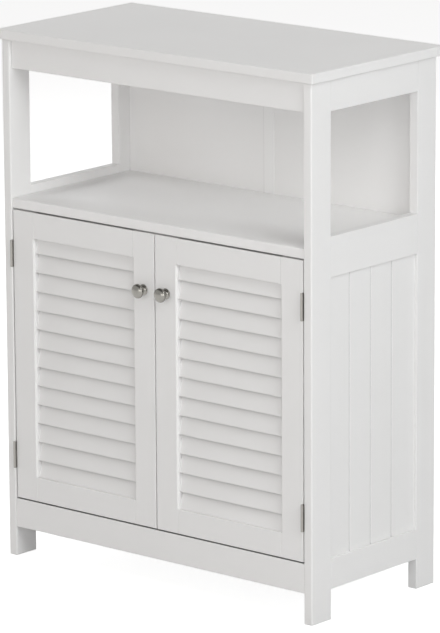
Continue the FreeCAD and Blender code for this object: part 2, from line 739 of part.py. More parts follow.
def bead_panel(side):
    """The grooved panel of a side frame; returns its blank, which the frame is grooved for."""
    node = side + "_beadboard_panel"
    outer = "case_half_width - bead_recess"
    inner = outer + " - bead_thickness"
    blank = block(node + "_blank",
                  (mirrored(side, inner, outer), "front_post_back - bead_tongue",
                   "bead_bottom - bead_tongue"),
                  ("bead_thickness", "rail_length + 2 * bead_tongue",
                   "bead_top - bead_bottom + 2 * bead_tongue"))
    bars = []
    for number in range(round(value("bead_groove_count"))):
        low_y = "front_post_back + bead_pitch * {} - bead_groove_width / 2".format(number + 1)
        bars.append(diagonal_bar("{}_groove{}".format(node, number + 1), signed(side, outer), low_y,
                                 "bead_bottom", "bead_groove_width / 2", "bead_top - bead_bottom"))
    keep(node, less(node, blank, group(node + "_grooves", bars)))
    return blank


def side_rail(side, name, low, height, tools):
    """A rail of a side frame, flush with the posts."""
    node = "{}_{}_rail".format(side, name)
    body = board(node, (mirrored(side, "inner_half_width", "case_half_width"),
                        "front_post_back", low),
                 ("board_thickness", "rail_length", height))
    keep(node, less(node, body, *tools))


def side_frames(tools, hinge_screws, peg_holes, back_blank):
    """Both side frames: posts, rails and grooved panels."""
    for side in SIDES:
        panel = bead_panel(side)
        joints = [panel, tools["dowels"]]
        post(side, "front", joints + [tools["bolts"], peg_holes, hinge_screws])
        post(side, "back", joints + [back_blank, peg_holes])
        side_rail(side, "top", "window_top", "side_top_rail_height",
                  [tools["dowels"], tools["bolts"], tools["disc_seats"]])
        side_rail(side, "middle", "bead_top", "middle_rail_height", joints + [tools["bolts"]])
        side_rail(side, "bottom", "foot_height", "bead_bottom - foot_height",
                  joints + [tools["bolts"]])


# ---------------------------------------------------------------- boards of the case
def top_panel(tools):
    """The top panel, on the side frames and past them all round."""
    body = board("top_panel", ("-top_width / 2", "case_front - front_overhang", "case_top"),
                 ("top_width", "top_depth", "top_thickness"), radius="top_round")
    keep("top_panel", less("top_panel", body, tools["dowels"], tools["bolts"]))


def back_panels():
    """Two thin panels in grooves of the back posts, and the H strip that joins them."""
    height = "case_top - floor_bottom"
    web_left = "-strip_offset - strip_web / 2"
    web_right = "-strip_offset + strip_web / 2"
    reach = "inner_half_width + back_tongue"
    left = block("back_panel_left_blank", ("-({})".format(reach), "back_front", "floor_bottom"),
                 ("{} + ({})".format(reach, web_left), "back_thickness", height))
    right = block("back_panel_right_blank", (web_right, "back_front", "floor_bottom"),
                  ("{} - ({})".format(reach, web_right), "back_thickness", height))
    flange_x = "-strip_offset - strip_width / 2"
    strip = joined("back_joint_strip", [
        block("strip_front", (flange_x, "back_front - strip_flange", "floor_bottom"),
              ("strip_width", "strip_flange", height)),
        block("strip_middle", (web_left, "back_front", "floor_bottom"),
              ("strip_web", "back_thickness", height)),
        block("strip_rear", (flange_x, "back_rear", "floor_bottom"),
              ("strip_width", "strip_flange", height)),
    ])
    keep("back_joint_strip", strip)
    return left, right, strip


def boards_across(tools, strip, catch_screws):
    """Fixed shelf, cupboard floor, apron and plinth rail between the side frames."""
    x = "-inner_half_width"
    width = "2 * inner_half_width"
    fastened = [tools["dowels"], tools["bolts"], tools["disc_seats"]]
    shelf = board("fixed_shelf", (x, "case_front + shelf_recess", "shelf_bottom"),
                  (width, "back_front - case_front - shelf_recess", "shelf_thickness"), radius=None)

    def front_edge(middle, direction):
        return abs(direction.x) > 0.9 and middle.y < 1

    ease(shelf, "shelf_round", edges_where(shelf.Tip, front_edge))
    keep("fixed_shelf", less("fixed_shelf", shelf, *fastened, strip, tools["back_screws"],
                             catch_screws))
    floor = board("cupboard_floor", (x, "plinth_back", "floor_bottom"),
                  (width, "back_front - plinth_back", "floor_thickness"))
    keep("cupboard_floor", less("cupboard_floor", floor, *fastened, strip, tools["back_screws"]))
    apron = board("front_apron", (x, "case_front + apron_recess", "case_top - apron_height"),
                  (width, "board_thickness", "apron_height"))
    keep("front_apron", less("front_apron", apron, *fastened))
    plinth = board("plinth_rail", (x, "case_front + plinth_recess", "foot_height"),
                   (width, "board_thickness", "plinth_height"))
    keep("plinth_rail", less("plinth_rail", plinth, *fastened))


def adjustable_shelf():
    """The loose shelf, its four pins, and the holes for them as a cutting tool."""
    half_width = "inner_half_width - loose_shelf_clearance"
    shelf = board("adjustable_shelf",
                  ("-({})".format(half_width), "loose_shelf_front", "loose_shelf_bottom"),
                  ("2 * ({})".format(half_width), "loose_shelf_back - loose_shelf_front",
                   "loose_shelf_thickness"))
    keep("adjustable_shelf", shelf)
    pins = []
    holes = []
    for side in SIDES:
        for end, y in (("front", "front_peg_y"), ("back", "back_peg_y")):
            name = "{}_{}_peg".format(side, end)
            start_x = mirrored(side, "inner_half_width", "inner_half_width + peg_depth")
            tongue_x = mirrored(side, "inner_half_width - tongue_length", "inner_half_width")
            peg = rod(name, (start_x, y, "peg_z"), "x", "peg_depth", "peg_radius")
            tongue = block(name + "_tongue",
                           (tongue_x, y + " - tongue_width / 2",
                            "loose_shelf_bottom - tongue_thickness"),
                           ("tongue_length", "tongue_width", "tongue_thickness"))
            pins.append(joined(name + "_pin", [peg, tongue]))
            count = round(value("peg_hole_count"))
            for number in range(count):
                z = "peg_z + peg_pitch * ({} - (peg_hole_count - 1) / 2)".format(number)
                holes.append(rod("{}_hole{}".format(name, number + 1), (start_x, y, z), "x",
                                 "peg_depth", "peg_radius"))
    keep("shelf_pins", group("shelf_pins", pins))
    return group("peg_holes", holes)


def catches():
    """A magnetic catch under the fixed shelf for each door; returns their screws as a tool."""
    housings = []
    magnets = []
    screws = []
    front = "door_back + strike_thickness + catch_gap"
    bottom = "shelf_bottom - catch_height"
    screw_offset = "(magnet_width + catch_width) / 4"
    for side in SIDES:
        name = side + "_catch"
        middle = signed(side, "knob_x")
        housings.append(block(name + "_housing", (middle + " - catch_width / 2", front, bottom),
                              ("catch_width", "catch_depth", "catch_height")))
        magnets.append(block(name + "_magnet",
                             (middle + " - magnet_width / 2", front,
                              bottom + " + (catch_height - magnet_height) / 2"),
                             ("magnet_width", "magnet_depth", "magnet_height")))
        for end, sign in (("inner", "-"), ("outer", "+")):
            x = "{} {} {}".format(middle, sign, screw_offset)
            screws.append(wood_screw("{}_{}_screw".format(name, end),
                                     (x, front + " + catch_depth / 2", bottom), "z", -1,
                                     "screw_head_height",
                                     "catch_height - screw_head_height + screw_length"))
    magnet_group = keep("catch_magnets", group("catch_magnets", magnets))
    screw_group = keep("catch_screws", group("catch_screws", screws))
    keep("catch_housings", less("catch_housings", group("catch_housing_blanks", housings),
                                magnet_group, screw_group))
    return screw_group


# ---------------------------------------------------------------- doors
def louvres(side):
    """The tilted slats of a door, their lower edges forward, housed in the stiles at both ends."""
    node = side + "_door_louvres"
    low_x = mirrored(side, "meeting_stile_x - slat_housing", "hinge_stile_x + slat_housing")
    body = new_body(node, low_x, "slat_front", "slat_foot")
    sketch = new_sketch(body, node + "_section", "YZ_Plane")
    sketch.AttachmentOffset = Placement(Vector(), Rotation(Vector(0, 0, -1), value("slat_tilt")))
    bind(sketch, "AttachmentOffset.Rotation.Angle", "slat_tilt")
    rounded_rectangle(sketch, "slat_thickness", "slat_width", "slat_round")
    slat = pad(body, sketch, "opening_width + 2 * slat_housing")
    rows = body.newObject("PartDesign::LinearPattern", node + "_rows")
    rows.Originals = [slat]
    rows.Direction = (origin_feature(body, "Z_Axis"), [""])
    bind(rows, "Length", "slat_field")
    bind(rows, "Occurrences", "slat_count")
    body.Tip = rows
    doc.recompute()
    return keep(node, body)


def door_dowels(side):
    """Two dowels in each of the four joints of a door frame."""
    dowels = []
    for joint, at in (("inner", "meeting_stile_x"), ("outer", "hinge_stile_x")):
        half = "door_dowel_length / 2"
        x = mirrored(side, "{} - {}".format(at, half), "{} + {}".format(at, half))
        levels = [
            ("top_high", "door_top - door_dowel_margin"),
            ("top_low", "upper_rebate_top + door_dowel_margin"),
            ("bottom_low", "door_bottom + door_dowel_margin"),
            ("bottom_high", "lower_rebate_floor - door_dowel_margin"),
        ]
        for level, z in levels:
            name = "{}_door_{}_{}_dowel".format(side, joint, level)
            dowels.append(rod(name, (x, "door_front + door_thickness / 2", z), "x",
                              "door_dowel_length", "door_dowel_radius"))
    return keep(side + "_door_dowels", group(side + "_door_dowels", dowels))


def stile(side, name, inner, outer, slat_edge, tools):
    """An upright member of a door frame, full height, chamfered along the slats."""
    node = "{}_door_{}_stile".format(side, name)
    body = board(node, (mirrored(side, inner, outer), "door_front", "door_bottom"),
                 ("stile_width", "door_thickness", "door_height"))
    chamfer = diagonal_bar(node + "_chamfer", signed(side, slat_edge),
                           "door_front - stile_chamfer", "door_rail_top", "stile_chamfer",
                           "door_rail_bottom - door_rail_top")
    keep(node, less(node, body, chamfer, *tools))


def door_rail(side, name, low, height, rebate, dowels):
    """A cross member of a door frame, rebated at the back for the slat that runs into it."""
    node = "{}_door_{}_rail".format(side, name)
    x = mirrored(side, "meeting_stile_x", "hinge_stile_x")
    body = board(node, (x, "door_front", low), ("opening_width", "door_thickness", height))
    rebate_front, rebate_low, rebate_high = rebate
    cutter = block(node + "_rebate", (x, rebate_front, rebate_low),
                   ("opening_width", "door_back - ({})".format(rebate_front),
                    "{} - ({})".format(rebate_high, rebate_low)))
    keep(node, less(node, body, cutter, dowels))


def knob(side):
    """A mushroom knob on the meeting stile and the screw that holds it from inside."""
    x = signed(side, "knob_x")
    node = side + "_knob"
    rose = cone(node + "_rose", (x, "door_front - knob_rose_thickness", "knob_z"), "y",
                "knob_rose_thickness", "knob_rose_top_radius", "knob_rose_radius")
    neck_length = "knob_projection - knob_head_thickness / 2"
    neck = rod(node + "_neck", (x, "door_front - ({})".format(neck_length), "knob_z"), "y",
               neck_length, "knob_neck_radius")
    head = doc.addObject("Part::Ellipsoid", node + "_head")
    head.Placement = Placement(Vector(), ALONG["y"])
    place(head, x, "door_front - ({})".format(neck_length), "knob_z")
    bind(head, "Radius1", "knob_head_thickness / 2")
    bind(head, "Radius2", "knob_head_radius")
    bind(head, "Radius3", "knob_head_radius")
    shank = rod(node + "_screw_shank", (x, "door_front - knob_screw_reach", "knob_z"), "y",
                "knob_screw_reach + door_thickness", "knob_screw_radius")
    cap = rod(node + "_screw_head", (x, "door_back", "knob_z"), "y",
              "knob_screw_head_height", "knob_screw_head_radius")
    screw = keep(side + "_knob_screw", joined(side + "_knob_screw", [shank, cap]))
    keep(node, less(node, joined(node + "_blank", [rose, neck, head]), screw))
    return screw


def strike(side):
    """The steel plate that the catch holds, and its screw; returns the screw as a tool."""
    middle = signed(side, "knob_x")
    low = "door_top - strike_inset - strike_height"
    plate = block(side + "_strike_blank", (middle + " - strike_width / 2", "door_back", low),
                  ("strike_width", "strike_thickness", "strike_height"))
    screw = wood_screw(side + "_strike_screw",
                       (middle, "door_back + strike_thickness", low + " + strike_height / 2"),
                       "y", 1, "strike_thickness", "screw_length")
    keep(side + "_strike_screw", screw)
    keep(side + "_strike_plate", less(side + "_strike_plate", plate, screw))
    return screw


def door(side, hinge_screws):
    """A louvred door with its knob and strike plate."""
    slats = louvres(side)
    dowels = door_dowels(side)
    knob_screw = knob(side)
    strike_screw = strike(side)
    stile(side, "hinge", "hinge_stile_x", "door_outer_x", "hinge_stile_x",
          [slats, dowels, hinge_screws])
    stile(side, "meeting", "door_inner_x", "meeting_stile_x", "meeting_stile_x",
          [slats, dowels, knob_screw, strike_screw])
    door_rail(side, "top", "door_rail_bottom", "door_top_rail",
              ("upper_lip_back", "door_rail_bottom", "upper_rebate_top"), dowels)
    door_rail(side, "bottom", "door_bottom", "door_bottom_rail",
              ("lower_lip_back", "lower_rebate_floor", "door_rail_top"), dowels)


# ---------------------------------------------------------------- the whole cabinet
def build():
    """Builds every sub-part."""
    fill_sheet()
    fasteners = case_fasteners()
    hinge_screws = hinges()
    peg_holes = adjustable_shelf()
    catch_screws = catches()
    back_left, back_right, strip = back_panels()
    back_blank = group("back_panel_blanks", [back_left, back_right])
    side_frames(fasteners, hinge_screws["frame"], peg_holes, back_blank)
    keep("back_panel_left", less("back_panel_left", back_left, fasteners["back_screws"]))
    keep("back_panel_right", less("back_panel_right", back_right, fasteners["back_screws"]))
    top_panel(fasteners)
    boards_across(fasteners, strip, catch_screws)
    for side in SIDES:
        door(side, hinge_screws[side])
    doc.recompute()


def check():
    """Stops if any object failed or any sub-part has no sound shape."""
    for thing in doc.Objects:
        if "Invalid" in thing.State or "Error" in thing.State:
            raise RuntimeError("{} failed: {}".format(thing.Label, thing.State))
    for node, thing in PARTS.items():
        if thing.Shape.isNull() or not thing.Shape.isValid() or not thing.Shape.Solids:
            raise RuntimeError("no sound shape for " + node)


def export():
    """Writes one STEP file for each sub-part."""
    os.makedirs("parts", exist_ok=True)
    for node, thing in PARTS.items():
        thing.Shape.exportStep(os.path.join("parts", node + ".step"))
    print(len(PARTS), "sub-parts written")


build()
check()
export()
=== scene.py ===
import math

import bmesh
import bpy
from mathutils import Matrix, Vector


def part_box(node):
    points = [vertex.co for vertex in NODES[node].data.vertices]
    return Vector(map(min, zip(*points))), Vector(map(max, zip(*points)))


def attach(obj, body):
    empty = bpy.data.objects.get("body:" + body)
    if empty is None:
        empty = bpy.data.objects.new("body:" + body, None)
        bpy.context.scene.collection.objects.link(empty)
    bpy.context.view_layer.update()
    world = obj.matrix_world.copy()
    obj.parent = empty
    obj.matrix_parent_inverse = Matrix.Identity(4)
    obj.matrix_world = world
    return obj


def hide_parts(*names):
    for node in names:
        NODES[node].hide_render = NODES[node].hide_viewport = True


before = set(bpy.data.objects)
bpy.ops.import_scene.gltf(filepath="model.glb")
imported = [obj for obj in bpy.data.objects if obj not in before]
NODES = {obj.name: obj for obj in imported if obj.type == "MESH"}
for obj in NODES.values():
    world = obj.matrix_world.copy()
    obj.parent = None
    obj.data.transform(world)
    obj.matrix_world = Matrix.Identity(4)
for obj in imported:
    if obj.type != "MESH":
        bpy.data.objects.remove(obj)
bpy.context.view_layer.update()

# Dressing of the louvred door cabinet: satin white paint on boards, satin nickel knobs and
# hinges, real screw heads, soft studio light.  Metres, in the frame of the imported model.

MM = 0.001

# ---------------------------------------------------------------- camera and light
CAMERA = {
    "azimuth": 40.508,
    "elevation": 13.266,
    "roll": -0.338,
    "target": (-0.03052, 0.04271, 0.37211),
    "distance": 7.00757,
    "lens": 269.29,         # millimetres
    "sensor": 36.0,         # millimetres
    "clip": (0.1, 100.0),
}
WORLD_STRENGTH = 0.194
WORLD_COLOUR = (1.0, 0.96, 0.937)
LAMP_AIM = (0.0, 0.0, 0.4)  # the middle of the cabinet
LIGHTS = {
    # name: (position, width, height, power in watts, colour, seen in reflections)
    "right_side": ((3.0, -0.7, 1.8), 1.6, 1.4, 27.0, (0.965, 0.994, 1.0), False),
    "right_low": ((3.0, -0.2, 0.95), 1.6, 1.1, 5.0, (1.0, 1.0, 1.0), False),
    "right_high": ((2.2, -1.2, 2.6), 1.6, 1.4, 21.5, (0.986, 1.0, 1.0), True),
    "right_front_low": ((2.0, -2.4, 0.9), 1.6, 1.0, 15.1, (1.0, 0.986, 0.991), True),
    "front": ((0.3, -3.1, 1.5), 1.8, 1.4, 15.2, (1.0, 0.988, 0.963), False),
    "front_low": ((0.2, -3.1, 0.5), 1.4, 0.6, 6.0, (1.0, 0.988, 0.963), True),
    "left_front": ((-2.3, -2.1, 1.6), 1.6, 1.4, 3.6, (1.0, 0.891, 0.805), False),
    "left_side": ((-2.9, 0.2, 1.3), 1.6, 1.4, 54.8, (0.981, 0.992, 1.0), False),
    "back_high": ((0.0, 2.0, 2.8), 1.8, 1.4, 17.6, (0.993, 1.0, 0.987), False),
    "back": ((-0.2, 3.2, 0.95), 1.4, 1.4, 36.0, (1.0, 1.0, 1.0), False),
}

# ---------------------------------------------------------------- colours, linear
PAINT = (0.87, 0.866, 0.862)
# The louvres' paint is a darker copy of the same white: painted shade.
SLAT_PAINT_DARKENED = (0.838, 0.834, 0.83)
# The shelves' paint is a lighter copy of the same white: painted light.
SHELF_PAINT_LIGHTENED = (0.9, 0.895, 0.89)
PLASTIC = (0.87, 0.868, 0.865)
NICKEL = (0.28, 0.272, 0.25)
HINGE_METAL = (0.33, 0.32, 0.30)
ZINC = (0.55, 0.56, 0.57)
CAST_METAL = (0.46, 0.46, 0.47)
BEECH_LIGHT = (0.62, 0.44, 0.26)
BEECH_DARK = (0.48, 0.32, 0.18)
FERRITE = (0.035, 0.035, 0.038)
FLOOR_COLOUR = (0.5, 0.5, 0.5)
FLOOR_GLOW = 0.82
FLOOR_SIZE = 60.0           # metres
BACKDROP = 1.0              # strength of the white background
BACKDROP_TOP = (0.35, 0.6)  # upward share of a direction where metal sees it fade to the ceiling

# ---------------------------------------------------------------- painted highlight on edges, painted shade in corners
# A reach is how near, in metres, another face stands for painted shade to darken the colour; a
# tone is what is left of the colour where the painted shade is darkest.
EDGE_RADIUS = 0.0015        # metres, sanded edges, rounded in the shading normal; also the width of the painted highlight
EDGE_HIGHLIGHT_SHARE = 0.12            # how much lighter the colour is painted on the edges themselves, a painted highlight
EDGE_ALIKE = (1.0, 0.8)     # likeness of the rounded and the flat normal, on a face and an edge, for the painted highlight
EDGE_SAMPLES = 6
CORNER_SAMPLES = 8
CORNER_OPEN = (0.05, 0.85)  # openness where the painted shade is darkest and where there is none
# Painted shade: a reach and a tone for the doors, the gaps round them, the louvres, the case's
# corners, the plinth's flat top under the doors, the beadboard's grooves and the plastic.
DOOR_REACH = 0.0035
DOOR_TONE = 0.5
GAP_TONE = 0.35             # painted shade on the boards at the gaps round the doors
SLAT_REACH = 0.008
SLAT_TONE = 0.55
CASE_REACH = 0.0025
CASE_TONE = 0.7
# painted shade on the plinth's flat top face in the gap under the doors
PLINTH_REACH = 0.01
PLINTH_TONE = 0.2
BEAD_REACH = 0.004
BEAD_TONE = 0.15
# painted highlight on the beadboard's edges
BEAD_HIGHLIGHT_SHARE = 0.07
PLASTIC_REACH = 0.0015
PLASTIC_TONE = 0.9
SEAM = (-0.0165, -0.0125)   # metres along X, where a painted shadow darkens the left back panel beside the joint strip
SEAM_TONE = 0.88

# ---------------------------------------------------------------- surface textures
# A noise is (scale, detail, roughness, distortion).  Tones are (position, share of the colour)
# pairs.  A gloss is the lowest and highest roughness.  A bump is (strength, depth in metres).
PAINT_STRETCH = (60.0, 2.2)  # across and along the grain
PAINT_GRAIN = (6.0, 6.0, 0.62, 0.3)
PAINT_PEEL = (900.0, 2.0)
PAINT_CLOUD = (5.0, 2.0)
PAINT_TONES = ((0.3, 0.985), (0.7, 1.01))
PAINT_GLOSS = (0.36, 0.46)
PAINT_GRAIN_BUMP = (0.22, 0.0002)
PAINT_PEEL_BUMP = (0.16, 0.0001)
PAINT_SPECULAR = 0.42

BOARD_TOOTH = (1400.0, 2.0)
BOARD_CLOUD = (3.0, 3.0)
BOARD_TONES = ((0.3, 0.98), (0.7, 1.01))
BOARD_GLOSS = (0.42, 0.52)
BOARD_BUMP = (0.12, 0.0001)
BOARD_SPECULAR = 0.4

PLASTIC_SPARK = (1800.0, 2.0)
PLASTIC_TONES = ((0.2, 0.985), (0.8, 1.0))
PLASTIC_GLOSS = (0.35, 0.45)
FERRITE_GLOSS = (0.45, 0.55)
PLASTIC_BUMP = (0.2, 0.00005)

BRUSH_STRETCH = (40.0, 1.0)  # across and along the brush lines
METAL_LINES = (120.0, 4.0)
METAL_TONES = ((0.25, 0.94), (0.75, 1.04))
METAL_BUMP = (0.08, 0.00004)
NICKEL_GLOSS = (0.15, 0.21)
HINGE_GLOSS = (0.24, 0.36)
ZINC_GLOSS = (0.28, 0.42)
CAST_GLOSS = (0.42, 0.6)

BEECH_STRETCH = (90.0, 90.0, 90.0)
BEECH_GRAIN = (8.0, 5.0, 0.5, 1.2)
BEECH_STOPS = ((0.3, BEECH_DARK), (0.65, BEECH_LIGHT))
BEECH_GLOSS = (0.55, 0.7)
BEECH_BUMP = (0.3, 0.0002)


# ---------------------------------------------------------------- node helpers
def new_node(tree, kind, **values):
    """A node with its properties set."""
    made = tree.nodes.new(kind)
    for key, value in values.items():
        setattr(made, key, value)
    return made


def ranged(tree, value, results, sources):
    """A socket's value between the two sources, moved to between the two results."""
    node = new_node(tree, "ShaderNodeMapRange")
    for name, number in zip(("From Min", "From Max", "To Min", "To Max"), (*sources, *results)):
        node.inputs[name].default_value = number
    tree.links.new(value, node.inputs["Value"])
    return node.outputs["Result"]


def tinted(colour, share):
    """A colour times a share, both plain numbers."""
    return tuple(channel * share for channel in colour)


class Shader:
    """A material under construction: adds nodes and joins their sockets."""

    def __init__(self, name):
        self.material = bpy.data.materials.new(name)
        self.material.use_nodes = True
        self.tree = self.material.node_tree
        self.surface = self.tree.nodes["Principled BSDF"]
        coordinates = self.tree.nodes.new("ShaderNodeTexCoord")
        self.place = coordinates.outputs["Object"]

    def node(self, kind, **values):
        return new_node(self.tree, kind, **values)

    def join(self, out, socket):
        self.tree.links.new(out, socket)

    def scaled(self, scale):
        """The object's coordinates, stretched."""
        mapping = self.node("ShaderNodeMapping")
        mapping.inputs["Scale"].default_value = scale
        self.join(self.place, mapping.inputs["Vector"])
        return mapping.outputs["Vector"]

    def along(self, axis, across, lengthwise):
        """The object's coordinates, stretched so that a noise runs along an axis."""
        stretch = [across] * 3
        stretch["xyz".index(axis)] = lengthwise
        return self.scaled(stretch)

    def noise(self, vector, scale, detail, roughness=0.5, distortion=0.0):
        texture = self.node("ShaderNodeTexNoise")
        texture.inputs["Scale"].default_value = scale
        texture.inputs["Detail"].default_value = detail
        texture.inputs["Roughness"].default_value = roughness
        texture.inputs["Distortion"].default_value = distortion
        self.join(vector, texture.inputs["Vector"])
        return texture.outputs["Fac"]

    def ramp(self, factor, stops):
        """A colour ramp through two (position, colour) stops."""
        ramp = self.node("ShaderNodeValToRGB")
        for element, (position, colour) in zip(ramp.color_ramp.elements, stops):
            element.position = position
            element.color = (*colour, 1.0)
        self.join(factor, ramp.inputs["Fac"])
        return ramp.outputs["Color"]

    def shades(self, factor, colour, tones):
        """A ramp through two shades of a colour."""
        return self.ramp(factor, [(position, tinted(colour, share)) for position, share in tones])

    def range(self, value, results, sources=(0.0, 1.0)):
        """A value between the two sources, moved to between the two results."""
        return ranged(self.tree, value, results, sources)

    def dimmed(self, colour, share):
        """A colour times a share, both sockets."""
        scale = self.node("ShaderNodeVectorMath", operation="SCALE")
        self.join(colour, scale.inputs[0])
        self.join(share, scale.inputs["Scale"])
        return scale.outputs["Vector"]

    def rounded(self):
        """The surface's normal with its edges rounded."""
        bevel = self.node("ShaderNodeBevel", samples=EDGE_SAMPLES)
        bevel.inputs["Radius"].default_value = EDGE_RADIUS
        return bevel.outputs["Normal"]

    def bumps(self, *layers, normal=None):
        """Stacks (height, strength, depth in metres) layers into the surface's normal."""
        for height, strength, depth in layers:
            bump = self.node("ShaderNodeBump")
            bump.inputs["Strength"].default_value = strength
            bump.inputs["Distance"].default_value = depth
            self.join(height, bump.inputs["Height"])
            if normal is not None:
                self.join(normal, bump.inputs["Normal"])
            normal = bump.outputs["Normal"]
        self.join(normal, self.surface.inputs["Normal"])

    def painted_shade_and_highlight(self, colour, reach, darkest, alone, highlight_share=EDGE_HIGHLIGHT_SHARE, level=False):
        """The colour, with a painted highlight along its edges and painted shade in its corners.

        A corner is where faces stand within reach of each other.  Alone, only the object's
        own faces count, such as a groove's or a louvre's.  Level, only the faces that lie
        flat get the painted shade, such as those in the gap under the doors.
        """
        # Painted shade: darker where other faces stand within reach.
        nearness = self.node("ShaderNodeAmbientOcclusion", samples=CORNER_SAMPLES,
                             only_local=alone)
        nearness.inputs["Distance"].default_value = reach
        corner = self.range(nearness.outputs["AO"], (darkest, 1.0), CORNER_OPEN)
        flat = self.node("ShaderNodeNewGeometry").outputs["True Normal"]
        if level:
            upward = self.node("ShaderNodeSeparateXYZ")
            self.join(flat, upward.inputs[0])
            lying = self.node("ShaderNodeMapRange")
            self.join(upward.outputs["Z"], lying.inputs["Value"])
            lying.inputs["To Min"].default_value = 1.0
            self.join(corner, lying.inputs["To Max"])
            corner = lying.outputs["Result"]
        # Painted highlight: lighter where the rounded normal turns away from the flat one.
        alike = self.node("ShaderNodeVectorMath", operation="DOT_PRODUCT")
        self.join(self.rounded(), alike.inputs[0])
        self.join(flat, alike.inputs[1])
        edge = self.range(alike.outputs["Value"], (1.0, 1.0 + highlight_share), EDGE_ALIKE)
        both = self.node("ShaderNodeMath", operation="MULTIPLY")
        self.join(corner, both.inputs[0])
        self.join(edge, both.inputs[1])
        return self.dimmed(colour, both.outputs["Value"])

    def colour(self, socket):
        self.join(socket, self.surface.inputs["Base Color"])

    def roughness(self, socket):
        self.join(socket, self.surface.inputs["Roughness"])

    def fixed(self, socket, value):
        """A constant on the surface's own socket."""
        self.surface.inputs[socket].default_value = value


def satin_paint(name, colour, grain_axis, reach=DOOR_REACH, darkest=DOOR_TONE, alone=True,
                highlight_share=EDGE_HIGHLIGHT_SHARE, level=False):
    """Rolled satin paint: grain that telegraphs through along one axis, orange peel, faint tone."""
    shader = Shader(name)
    grain = shader.noise(shader.along(grain_axis, *PAINT_STRETCH), *PAINT_GRAIN)
    peel = shader.noise(shader.place, *PAINT_PEEL)
    tone = shader.shades(shader.noise(shader.place, *PAINT_CLOUD), colour, PAINT_TONES)
    # Painted shade in corners and a painted highlight on edges.
    shader.colour(shader.painted_shade_and_highlight(tone, reach, darkest, alone, highlight_share, level))
    shader.roughness(shader.range(grain, PAINT_GLOSS))
    shader.bumps((grain, *PAINT_GRAIN_BUMP), (peel, *PAINT_PEEL_BUMP), normal=shader.rounded())
    shader.fixed("Specular IOR Level", PAINT_SPECULAR)
    return shader.material


def smooth_board(name, colour, seam_tone):
    """Paint on thin fibreboard: smooth, fine even tooth, painted shadow along the joint strip."""
    shader = Shader(name)
    tooth = shader.noise(shader.place, *BOARD_TOOTH)
    tone = shader.shades(shader.noise(shader.place, *BOARD_CLOUD), colour, BOARD_TONES)
    across = shader.node("ShaderNodeSeparateXYZ")
    shader.join(shader.place, across.inputs[0])
    # Painted shadow: darker in a band along X beside the joint strip.
    seam = shader.range(across.outputs["X"], (1.0, seam_tone), SEAM)
    shader.colour(shader.dimmed(tone, seam))
    shader.roughness(shader.range(tooth, BOARD_GLOSS))
    shader.bumps((tooth, *BOARD_BUMP))
    shader.fixed("Specular IOR Level", BOARD_SPECULAR)
    return shader.material


def moulded(name, colour, gloss):
    """Moulded plastic or ferrite with a faint spark-eroded texture."""
    shader = Shader(name)
    spark = shader.noise(shader.place, *PLASTIC_SPARK)
    tone = shader.shades(spark, colour, PLASTIC_TONES)
    # Painted shade in corners and a painted highlight on edges.
    shader.colour(shader.painted_shade_and_highlight(tone, PLASTIC_REACH, PLASTIC_TONE, alone=True))
    shader.roughness(shader.range(spark, gloss))
    shader.bumps((spark, *PLASTIC_BUMP))
    return shader.material


def metal(name, colour, gloss, brushed_along=None):
    """Plated metal, with fine brush lines along an axis or an even satin."""
    shader = Shader(name)
    place = shader.along(brushed_along, *BRUSH_STRETCH) if brushed_along else shader.place
    lines = shader.noise(place, *METAL_LINES)
    shader.colour(shader.shades(lines, colour, METAL_TONES))
    shader.roughness(shader.range(lines, gloss))
    shader.bumps((lines, *METAL_BUMP))
    shader.fixed("Metallic", 1.0)
    return shader.material


def bare_beech(name):
    """Turned beech: fine pores along X, Y and Z dowels alike."""
    shader = Shader(name)
    grain = shader.noise(shader.scaled(BEECH_STRETCH), *BEECH_GRAIN)
    shader.colour(shader.ramp(grain, BEECH_STOPS))
    shader.roughness(shader.range(grain, BEECH_GLOSS))
    shader.bumps((grain, *BEECH_BUMP))
    return shader.material


